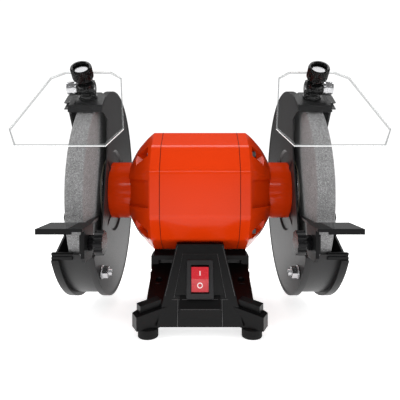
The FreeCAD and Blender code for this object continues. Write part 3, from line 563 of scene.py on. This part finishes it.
def sweep_ring(mesh: bmesh.types.BMesh, stations: Sequence[Tuple[Vector, Vector, Vector]], radius: float,
               sides: int = 10) -> None:
    """Round bead along stations, closed at both ends.

    Args:
        mesh: target.
        stations: for each place its centre and two unit vectors across the path.
        radius: bead radius.
        sides: corners of the section.
    """
    rings = []
    for centre, across, up in stations:
        ring = []
        for step in range(sides):
            turn = 2.0 * math.pi * step / sides
            ring.append(mesh.verts.new(centre + across * (radius * math.cos(turn))
                                       + up * (radius * math.sin(turn))))
        rings.append(ring)
    bridge(mesh, rings)
    mesh.faces.new(rings[0][::-1])
    mesh.faces.new(rings[-1])


@dataclass
class Slope:
    """A plane that faces the operator: local x is +X, v runs up it, w leaves it.

    Attributes:
        origin: place of local zero.
        tilt: lean from level, in radians.
    """

    origin: Vector
    tilt: float

    @property
    def up(self) -> Vector:
        """Unit vector up the plane."""
        return Vector((0.0, math.cos(self.tilt), math.sin(self.tilt)))

    @property
    def out(self) -> Vector:
        """Unit normal, towards the operator."""
        return Vector((0.0, -math.sin(self.tilt), math.cos(self.tilt)))

    def at(self, x: float, v: float, w: float) -> Vector:
        """Point near the plane.

        Args:
            x: place along the shaft.
            v: place up the plane.
            w: height off the plane.

        Returns:
            The point.
        """
        return self.origin + Vector((x, 0.0, 0.0)) + self.up * v + self.out * w


def panel_slope() -> Slope:
    """Plane of the switch panel."""
    return Slope(Vector((0.0, *PANEL_PLACE)), PANEL_TILT)


def frame_plate_x(side: Side) -> float:
    """Distance from the middle to the inner guard's rim, on its motor side."""
    low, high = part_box("guard_inner_" + side.word)
    return min(abs(low[0]), abs(high[0]))


def joint_place(name: str) -> Vector:
    """Place of a hinge, from the frame's joint list.

    Args:
        name: joint name.

    Returns:
        Its place in the row frame.
    """
    for joint in frame["record"]["behaviour"]["joints"]:
        if joint["name"] == name:
            return Vector(joint["pos_m"])
    raise KeyError(name)


def outer_section(node: str, x: float, samples: int = 80) -> List[Vector]:
    """Outline of a node where a plane across the shaft cuts it.

    Args:
        node: CAD node name.
        x: place of the plane.
        samples: points tried on each cut edge, enough to fill every step on a flat.

    Returns:
        For each two-degree step round the shaft, the outermost point of the cut.
    """
    mesh = bmesh.new()
    mesh.from_mesh(frame["nodes"][node].data)
    cut = bmesh.ops.bisect_plane(mesh, geom=mesh.verts[:] + mesh.edges[:] + mesh.faces[:],
                                 plane_co=(x, 0.0, 0.0), plane_no=(1.0, 0.0, 0.0))
    reach: Dict[int, Vector] = {}
    for item in cut["geom_cut"]:
        if isinstance(item, bmesh.types.BMEdge):
            first, second = (vert.co.copy() for vert in item.verts)
            for step in range(samples + 1):
                point = first.lerp(second, step / samples)
                angle = int(round(math.degrees(math.atan2(point.z - SHAFT_Z, point.y)) / SECTION_STEP))
                radius = math.hypot(point.y, point.z - SHAFT_Z)
                held = reach.get(angle)
                if held is None or radius > math.hypot(held.y, held.z - SHAFT_Z):
                    reach[angle] = point
    mesh.free()
    return [reach[angle] for angle in sorted(reach)]


# --------------------------------------------------------------------------
# Sub-assemblies
# --------------------------------------------------------------------------
@dataclass
class MotorBody:
    """Orange twelve-sided shell between two domed end bells, with all it holds."""

    seam_place: float = 0.039
    seam_inset: float = 0.0006
    seam_half: float = 0.00028
    seam_proud: float = 0.00012

    hidden: Dict[str, Look] = field(default_factory=lambda: {
        "stator_core": Look.LAMINATION, "stator_windings": Look.COPPER, "rotor_core": Look.LAMINATION,
        "rotor_cage": Look.CAST, "shaft": Look.STEEL, "bearing_inner_rings": Look.STEEL,
        "bearing_outer_rings": Look.STEEL, "bearing_balls": Look.STEEL,
    })

    def seam(self, side: Side) -> bpy.types.Object:
        """Thin dark line all round, where the shell meets the bell.

        Args:
            side: end of the shell.

        Returns:
            The line as a piece.
        """
        middle = side.value * self.seam_place
        section = outer_section("motor_shell", middle - side.value * self.seam_inset)
        centre = Vector((0.0, 0.0, SHAFT_Z))
        rings = []
        mesh = bmesh.new()
        for offset, lift in ((-1, -1), (1, -1), (1, 1), (-1, 1)):
            ring = []
            for point in section:
                spoke = Vector((0.0, point.y, point.z)) - centre
                spoke *= 1.0 + lift * self.seam_proud / spoke.length
                along = Vector((middle + offset * self.seam_half, 0.0, 0.0))
                ring.append(mesh.verts.new(centre + spoke + along))
            rings.append(ring)
        bridge(mesh, rings, closed=True)
        return make_piece("shell_seam_" + side.word, mesh, (Look.SEAM,), "frame")

    def build(self) -> None:
        """Finish the shell, bells and inner pieces."""
        for side in Side:
            self.seam(side)
        finish_node("motor_shell", Look.ORANGE, 0.0030, 5, 22.0)
        for side in Side:
            finish_node("end_bell_" + side.word, Look.ORANGE, 0.0010, 4, 28.0)
        # Tie bolts are darkened as painted shade of their notches.
        finish_node("tie_bolts", Look.GUNMETAL, 0.0004)
        for node, finish in self.hidden.items():
            finish_node(node, finish, 0.0)


@dataclass
class WheelSet:
    """Abrasive wheels with flanges, blotters, bushes and nuts."""

    metal: Tuple[str, ...] = ("wheel_inner_flanges", "wheel_outer_flanges", "arbor_nuts")

    def build(self) -> None:
        """Finish the wheels and their hardware."""
        for side in Side:
            finish_node("wheel_" + side.word, Look.ABRASIVE, 0.0)
        for node in self.metal:
            finish_node(node, Look.ZINC, 0.0003)
        finish_node("wheel_blotters", Look.CARD, 0.0)
        finish_node("wheel_bushes", Look.BUSH, 0.0)


@dataclass
class Guard:
    """One wheel guard: inner half, cover, arrestor cap and screws."""

    side: Side
    rise: float = 0.0007
    rib_start: float = 0.036
    rib_length: float = 0.016
    rib_half: float = 0.0032
    crown_back: float = 0.003
    crown_lift: float = 1.6
    root_sink: float = 0.5
    rib_angles: Tuple[float, ...] = (40.0, -40.0, 140.0, -140.0)

    def emboss(self) -> bpy.types.Object:
        """Low three-cornered ribs in front of the inner plate's motor side, round the collar.

        Returns:
            The ribs of this side as one piece.
        """
        mesh = bmesh.new()
        face = self.side.value * frame_plate_x(self.side)
        out = -self.side.value * self.rise
        for angle in self.rib_angles:
            turn = math.radians(angle)
            along = Vector((0.0, math.cos(turn), math.sin(turn)))
            across = Vector((0.0, -math.sin(turn), math.cos(turn)))
            root = Vector((face, 0.0, SHAFT_Z)) + along * self.rib_start
            tip = root + along * self.rib_length
            left, right = root + across * self.rib_half, root - across * self.rib_half
            top = root + along * self.crown_back + Vector((out * self.crown_lift, 0.0, 0.0))
            into = Vector((-out * self.root_sink, 0.0, 0.0))
            corners = [mesh.verts.new(point) for point in (left + into, right + into, tip + into, top)]
            for first, second, third in ((0, 1, 2), (0, 3, 1), (1, 3, 2), (2, 3, 0)):
                mesh.faces.new((corners[first], corners[second], corners[third]))
        return make_piece("guard_ribs_" + self.side.word, mesh, (Look.GUARD,), "frame", smooth=False)

    def build(self) -> None:
        """Finish the sheet parts."""
        word = self.side.word
        finish_node("guard_inner_" + word, Look.GUARD, 0.0006)
        # Cover and arrestor cap take the darker copy of the coat, which paints in their shade.
        finish_node("guard_cover_" + word, Look.COVER, 0.0006)
        finish_node("spark_arrestor_" + word, Look.COVER, 0.0004)
        self.emboss()


@dataclass
class EyeShield:
    """Clear plate on a tilting head, with its fluted knob."""

    side: Side
    thickness: float = 0.003
    top_half: float = 0.022
    shoulder_half: float = 0.0338
    wide_half: float = 0.0486
    low_half: float = 0.0374
    above: float = 0.013
    shoulder: float = 0.009
    wide: float = 0.076
    long: float = 0.095
    lean: float = 0.007
    shift: float = -0.0015
    stand_off: float = 0.0075
    chamfer: float = 0.0010
    knob_span: Tuple[float, float] = (0.0108, 0.0253)
    grip_radius: float = 0.0098
    groove_radius: float = 0.0092
    bore: float = 0.0026
    hollow: float = 0.0039
    flutes: int = 36
    steps_per_flute: int = 4
    ball_radius: float = 0.0079
    ball_slot: float = 0.0039
    ball_reach: float = 0.0078
    ball_squash: float = 0.86
    ball_rows: int = 8
    ball_steps: int = 48

    def slope(self) -> Slope:
        """Plane of the shield through its hinge."""
        return Slope(joint_place("shield_tilt_" + self.side.word), SHIELD_TILT)

    def outline(self, slope: Slope, w: float, inset: float) -> List[Vector]:
        """Corners of the plate at one depth.

        Args:
            slope: plane of the shield.
            w: depth off the plane.
            inset: how far the corners move in from the full outline.

        Returns:
            The corners in order.
        """
        rows = ((0.0, self.top_half), (self.shoulder, self.shoulder_half),
                (self.wide, self.wide_half), (self.long, self.low_half))
        near, far = [], []
        for down, half in rows:
            middle = self.shift + self.lean * down / self.long
            edge = half - inset
            row = min(max(down, inset), self.long - inset)
            near.append(slope.at(self.side.value * (middle - edge), self.above - row, w))
            far.append(slope.at(self.side.value * (middle + edge), self.above - row, w))
        return near + far[::-1]

    def plate(self) -> bpy.types.Object:
        """Plate with a small bevel all round; faces clear, the thin end faces painted near white as a
        painted glint and the chamfers painted dark grey as a painted refraction line.

        Returns:
            The plate, which stands for its CAD node.
        """
        word = self.side.word
        slope = self.slope()
        mesh = bmesh.new()
        low, high = self.stand_off, self.stand_off + self.thickness
        loops = [self.outline(slope, low, self.chamfer), self.outline(slope, low + self.chamfer, 0.0),
                 self.outline(slope, high - self.chamfer, 0.0), self.outline(slope, high, self.chamfer)]
        rings = [[mesh.verts.new(point) for point in loop] for loop in loops]
        # Edge and chamfer finishes paint the plate rim's bright glint and its dark refraction line.
        looks = (Look.CLEAR, Look.EDGE, Look.CHAMFER)
        rim = (looks.index(Look.CHAMFER), looks.index(Look.EDGE), looks.index(Look.CHAMFER))
        for index, row in zip(rim, bridge(mesh, rings)):
            for face in row:
                face.material_index = index
        mesh.faces.new(rings[0][::-1])
        mesh.faces.new(rings[-1])
        piece = make_piece("shield_plate_" + word, mesh, looks, "eye_shield_" + word, smooth=False)
        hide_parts("eye_shield_" + word)
        return piece

    def knob(self) -> bpy.types.Object:
        """Fluted knob turned as one profile: waist, ribbed grip and a hollow top.

        Returns:
            The knob, which stands for its CAD node.
        """
        word = self.side.word
        slope = self.slope()
        low, high = self.knob_span
        grip, steps = self.grip_radius, self.flutes * self.steps_per_flute
        profile = [(self.bore, low), (0.0070, low), (0.0076, low + 0.0004), (0.0086, low + 0.0014),
                   (0.0094, low + 0.0026), (grip, low + 0.0034), (grip, high - 0.0014),
                   (0.0094, high - 0.0004), (0.0088, high), (0.0078, high), (0.0073, high - 0.0004),
                   (0.0070, high - self.hollow), (self.bore, high - self.hollow)]
        mesh = bmesh.new()
        rings = []
        for radius, w in profile:
            ring = []
            for step in range(steps):
                turn = 2.0 * math.pi * step / steps
                grooved = radius == grip and step % self.steps_per_flute >= self.steps_per_flute // 2
                reach = self.groove_radius if grooved else radius
                ring.append(mesh.verts.new(slope.at(reach * math.cos(turn), reach * math.sin(turn), w)))
            rings.append(ring)
        bridge(mesh, rings, closed=True)
        piece = make_piece("shield_grip_" + word, mesh, (Look.GLOSS,), "shield_knob_" + word)
        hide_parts("shield_knob_" + word)
        return piece

    def ball(self) -> bpy.types.Object:
        """Polished half shells on both cheeks of the clamp, split by the slot.

        Returns:
            Both halves as one piece.
        """
        word = self.side.word
        place = joint_place("shield_tilt_" + word)
        mesh = bmesh.new()
        slot, steps = self.ball_slot, self.ball_steps
        for sign in (-1.0, 1.0):
            rows = []
            for turn in range(self.ball_rows + 1):
                x = slot + (self.ball_reach - slot) * math.sin(math.radians(90.0) * turn / self.ball_rows)
                around = math.sqrt(max(self.ball_radius ** 2 - x ** 2, LEAST_SQUARE)) * self.ball_squash
                rows.append([mesh.verts.new(place + Vector((
                    sign * x, around * math.cos(2.0 * math.pi * step / steps),
                    around * math.sin(2.0 * math.pi * step / steps)))) for step in range(steps)])
            bridge(mesh, rows)
            mesh.faces.new(rows[0])
            mesh.faces.new(rows[-1])
        return make_piece("shield_ball_" + word, mesh, (Look.GLOSS,), "eye_shield_" + word)

    def build(self) -> None:
        """Finish the joint and make the plate, grip and ball."""
        word = self.side.word
        self.plate()
        self.knob()
        self.ball()
        for node in ("shield_post_", "shield_head_"):
            finish_node(node + word, Look.GLOSS, 0.0014, 4)
        # The screw end wears the darker zinc, painted shade of the knob's hollow.
        finish_node("shield_knob_screw_" + word, Look.DULL_ZINC, 0.0003)
        finish_node("shield_pivot_bolt_" + word, Look.ZINC, 0.0005)


@dataclass
class ToolRest:
    """Rest plate, bracket and star knob of one side."""

    side: Side
    leg_room: float = 0.012
    margin: float = 0.0006
    depth: float = 0.0335
    sunk: float = 0.0002
    proud: float = 0.00004

    def top_skin(self) -> bpy.types.Object:
        """Polished face of the plate, a hair above the folded sheet; its colour, lighter than the rest's, is
        a painted sheen.

        Returns:
            The face as a thin piece.
        """
        word = self.side.word
        low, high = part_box("tool_rest_" + word)
        near, far = sorted((abs(low[0]), abs(high[0])))
        inner, outer = near + self.leg_room, far - self.margin
        front, back = low[1] + self.margin, low[1] + self.depth
        corners = [(inner, front), (outer, front), (outer, back), (inner, back)]
        mesh = bmesh.new()
        extrude_outline(mesh, [Vector((self.side.value * x, y, high[2] - self.sunk)) for x, y in corners],
                        Vector((0.0, 0.0, self.sunk + self.proud)))
        return make_piece("rest_face_" + word, mesh, (Look.REST_TOP,), "tool_rest_" + word, smooth=False)

    def build(self) -> None:
        """Finish the rest's pieces and lay the polished face."""
        word = self.side.word
        self.top_skin()
        finish_node("tool_rest_" + word, Look.REST, 0.0004)
        finish_node("rest_bracket_" + word, Look.KNOB, 0.0004)
        finish_node("rest_knob_" + word, Look.KNOB, 0.0006)
        finish_node("rest_knob_screw_" + word, Look.ZINC, 0.0002)


@dataclass
class Base:
    """Black pedestal with its feet, plate, screws, capacitor and gland."""

    panel: Slope = field(default_factory=panel_slope)
    probe_height: float = 0.060
    bead: float = 0.00022
    bead_lean: Tuple[float, float] = (0.8, 0.6)
    border: Tuple[Tuple[float, float], ...] = ((-0.0244, -0.0165), (-0.0171, 0.0247),
                                               (0.0171, 0.0247), (0.0244, -0.0165))
    foot_half: float = 0.0265
    foot: float = -0.0182
    apron_half: float = 0.0205
    apron_top: float = -0.0275
    apron_low: float = -0.0440
    apron_edge: float = 0.0207
    tower_edge: Tuple[Tuple[float, float], ...] = ((0.0225, 0.0330), (0.0330, -0.0150))

    plain: Dict[str, Look] = field(default_factory=lambda: {
        "base_plate": Look.STEEL, "capacitor": Look.CAST,
    })

    def on_face(self, x: float, v: float) -> Optional[Vector]:
        """Point of the casting's front skin under a point of the panel plane.

        Args:
            x: place along the shaft.
            v: place up the panel.

        Returns:
            The point, or None where the casting is open.
        """
        start = self.panel.at(x, v, self.probe_height)
        hit, point, _, _ = frame["nodes"]["base_casting"].ray_cast(start, -self.panel.out)
        return point if hit else None

    def raised_highlight_line(self, name: str, ends: Sequence[Tuple[float, float]], steps: int = 16) -> None:
        """Fine raised line on the front skin, through the given panel places, lighter than the casting as a
        painted edge highlight.

        Args:
            name: piece name.
            ends: corners of the line, as x and v.
            steps: points on each run.
        """
        stations = []
        across = Vector((self.bead_lean[0], 0.0, 0.0)) + self.panel.up * self.bead_lean[1]
        for (x0, v0), (x1, v1) in zip(ends, ends[1:]):
            for step in range(steps + 1):
                share = step / steps
                place = self.on_face(x0 + (x1 - x0) * share, v0 + (v1 - v0) * share)
                if place is not None:
                    stations.append((place, across, self.panel.out))
        if len(stations) < 2:
            log.warning("no skin under %s", name)
            return
        mesh = bmesh.new()
        sweep_ring(mesh, stations, self.bead, 8)
        make_piece(name, mesh, (Look.EDGE_BLACK,), "frame")

    def lines(self) -> None:
        """Raised border of the switch panel, its foot, the apron and the tower's edges, drawn as lighter
        lines that paint in the highlights along those edges.
        """
        self.raised_highlight_line("panel_border", self.border)
        self.raised_highlight_line("panel_foot", [(-self.foot_half, self.foot), (self.foot_half, self.foot)])
        self.raised_highlight_line("apron_top", [(-self.apron_half, self.apron_top),
                                        (self.apron_half, self.apron_top)])
        for side in Side:
            self.raised_highlight_line("tower_edge_" + side.word, [(side.value * x, v) for x, v in self.tower_edge])
            self.raised_highlight_line("apron_side_" + side.word, [(side.value * self.apron_edge, v)
                                                          for v in (self.foot, self.apron_low)])

    def build(self) -> None:
        """Finish the base's pieces."""
        self.lines()
        finish_node("base_casting", Look.BASE, 0.0009)
        finish_node("rubber_feet", Look.RUBBER, 0.0004)
        finish_node("cord_gland", Look.RUBBER, 0.0004)
        for node, finish in self.plain.items():
            finish_node(node, finish, 0.0)


@dataclass
class Switch:
    """Rocker switch on the sloping panel."""

    proud: float = 0.00006
    ridge: float = 0.0036
    top_rise: float = 0.278
    low_rise: float = 0.085
    bar_middle: float = 0.0052
    bar_half: Tuple[float, float] = (0.0004, 0.0021)
    bar_corner: float = 0.0002
    ring_middle: float = -0.0058
    ring_radii: Tuple[float, float] = (0.0019, 0.0026)
    ring_steps: int = 40

    def face_point(self, x: float, v: float, lift: float) -> Vector:
        """Point over the rocker's folded face.

        Args:
            x: place along the shaft.
            v: place up the panel.
            lift: height over the face.

        Returns:
            The point.
        """
        rise = self.top_rise if v >= 0.0 else self.low_rise
        return panel_slope().at(x, v, self.ridge + rise * v + lift)

    def bar_mark(self) -> bpy.types.Object:
        """Upright bar on the upper half.

        Returns:
            The bar as a piece.
        """
        mesh = bmesh.new()
        half_width, half_height = self.bar_half
        middle, corner = self.bar_middle, self.bar_corner
        outline = [(-half_width, corner - half_height), (corner - half_width, -half_height),
                   (half_width - corner, -half_height), (half_width, corner - half_height),
                   (half_width, half_height - corner), (half_width - corner, half_height),
                   (corner - half_width, half_height), (-half_width, half_height - corner)]
        lift = self.face_point(0.0, middle, self.proud) - self.face_point(0.0, middle, -self.proud)
        extrude_outline(mesh, [self.face_point(x, middle + v, -self.proud) for x, v in outline], lift)
        return make_piece("rocker_mark_bar", mesh, (Look.MARKS,), "switch_rocker", smooth=False)

    def ring_mark(self) -> bpy.types.Object:
        """Ring on the lower half.

        Returns:
            The ring as a piece.
        """
        mesh = bmesh.new()
        inner, outer = self.ring_radii
        middle, steps = self.ring_middle, self.ring_steps
        rings = []
        for radius, lift in ((inner, -1.0), (outer, -1.0), (outer, 1.0), (inner, 1.0)):
            ring = []
            for step in range(steps):
                turn = 2.0 * math.pi * step / steps
                ring.append(mesh.verts.new(self.face_point(
                    radius * math.cos(turn), middle + radius * math.sin(turn), self.proud * lift)))
            rings.append(ring)
        bridge(mesh, rings, closed=True)
        return make_piece("rocker_mark_ring", mesh, (Look.MARKS,), "switch_rocker", smooth=False)

    def build(self) -> None:
        """Finish the switch and add its two generic marks."""
        finish_node("switch_housing", Look.BEZEL, 0.0004)
        finish_node("switch_rocker", Look.ROCKER, 0.0006)
        self.bar_mark()
        self.ring_mark()


@dataclass
class Fasteners:
    """Bright screws, studs and nuts."""

    nodes: Tuple[str, ...] = (
        "guard_cover_screws", "guard_flange_screws", "shield_post_screws", "guard_studs",
        "guard_stud_nuts", "base_plate_screws", "motor_screws", "foot_screws",
    )

    def build(self) -> None:
        """Finish every fastener node."""
        for node in self.nodes:
            finish_node(node, Look.ZINC, 0.0003)


# --------------------------------------------------------------------------
# Studio
# --------------------------------------------------------------------------
@dataclass(frozen=True)
class Lamp:
    """Soft rectangular lamp.

    Attributes:
        name: lamp name.
        place: where it hangs.
        aim: point it faces.
        size: width and height.
        power: watts.
    """

    name: str
    place: Point
    aim: Point
    size: Tuple[float, float]
    power: float

    def build(self) -> None:
        """Hang the lamp."""
        data = bpy.data.lights.new(self.name, "AREA")
        data.shape = "RECTANGLE"
        data.size, data.size_y = self.size
        data.energy = self.power
        lamp = bpy.data.objects.new(self.name, data)
        lamp.location = self.place
        lamp.rotation_euler = (Vector(self.aim) - Vector(self.place)).to_track_quat("-Z", "Y").to_euler()
        bpy.context.collection.objects.link(lamp)
        log.info("hung lamp %s", self.name)


@dataclass
class Studio:
    """White floor, soft lights and the camera."""

    camera_place: Point = (0.0, -0.460, 0.163)
    lens: float = 37.53
    sensor: float = 36.0
    shift_down: float = 0.1
    clip: float = 0.01
    surround: float = 0.4
    mirrored: float = 0.22
    seen: float = 1.1
    floor_glow: float = 0.66
    floor_half: float = 4.0
    floor_depth: float = -0.0003
    lamps: Tuple[Lamp, ...] = (
        Lamp("over", (0.0, 0.16, 1.1), (0.0, 0.0, 0.1), (1.6, 0.6), 12.0),
        Lamp("front", (0.0, -1.3, 0.78), (0.0, 0.0, 0.12), (1.4, 0.22), 4.0),
        Lamp("left_strip", (-0.9, -0.45, 0.35), (0.0, 0.0, 0.12), (0.3, 0.9), 4.0),
        Lamp("right_strip", (0.9, -0.45, 0.35), (0.0, 0.0, 0.12), (0.3, 0.9), 4.0),
    )

    def floor(self) -> None:
        """Large pale floor with a faint glow, as paper lit from below."""
        mesh = bmesh.new()
        corners = [mesh.verts.new((x * self.floor_half, y * self.floor_half, self.floor_depth))
                   for x, y in ((-1, -1), (1, -1), (1, 1), (-1, 1))]
        mesh.faces.new(corners)
        data = bpy.data.meshes.new("floor")
        mesh.to_mesh(data)
        mesh.free()
        floor = bpy.data.objects.new("floor", data)
        bpy.context.collection.objects.link(floor)
        paper = Finish("white_paper", (0.93, 0.93, 0.93), 0.9, grain=300.0, relief=0.00002, strength=0.05,
                       tone=0.005)
        material = paper.build()
        shader = material.node_tree.nodes["Principled BSDF"]
        shader.inputs["Emission Color"].default_value = WHITE
        shader.inputs["Emission Strength"].default_value = self.floor_glow
        data.materials.append(material)
        log.info("laid the floor")

    def world(self) -> None:
        """White surroundings that light the object less than they show behind it."""
        world = bpy.data.worlds.new("studio")
        world.use_nodes = True
        tree = world.node_tree
        surround = tree.nodes["Background"]
        seen, mirrored = (tree.nodes.new("ShaderNodeBackground") for _ in range(2))
        for node, strength in ((surround, self.surround), (seen, self.seen), (mirrored, self.mirrored)):
            node.inputs["Color"].default_value = WHITE
            node.inputs["Strength"].default_value = strength
        path = tree.nodes.new("ShaderNodeLightPath")
        shader = surround.outputs["Background"]
        for ray, other in (("Is Glossy Ray", mirrored), ("Is Camera Ray", seen)):
            mix = tree.nodes.new("ShaderNodeMixShader")
            tree.links.new(path.outputs[ray], mix.inputs["Fac"])
            tree.links.new(shader, mix.inputs[1])
            tree.links.new(other.outputs["Background"], mix.inputs[2])
            shader = mix.outputs["Shader"]
        tree.links.new(shader, tree.nodes["World Output"].inputs["Surface"])
        bpy.context.scene.world = world

    def camera(self) -> None:
        """Level camera a little above the shaft, in front of the middle."""
        data = bpy.data.cameras.new("camera")
        data.lens = self.lens
        data.sensor_width = self.sensor
        data.shift_y = -self.shift_down
        data.clip_start = self.clip
        camera = bpy.data.objects.new("camera", data)
        camera.location = self.camera_place
        camera.rotation_euler = (math.radians(90.0), 0.0, 0.0)
        bpy.context.collection.objects.link(camera)
        bpy.context.scene.camera = camera
        log.info("placed the camera")

    def build(self) -> None:
        """Set the stage."""
        self.floor()
        self.world()
        for lamp in self.lamps:
            lamp.build()
        self.camera()
        bpy.context.scene.view_settings.view_transform = "Standard"


def main() -> None:
    """Build every sub-assembly, then the studio."""
    MotorBody().build()
    WheelSet().build()
    for side in Side:
        Guard(side).build()
        EyeShield(side).build()
        ToolRest(side).build()
    Base().build()
    Switch().build()
    Fasteners().build()
    Studio().build()


if __name__ == "__main__":
    main()
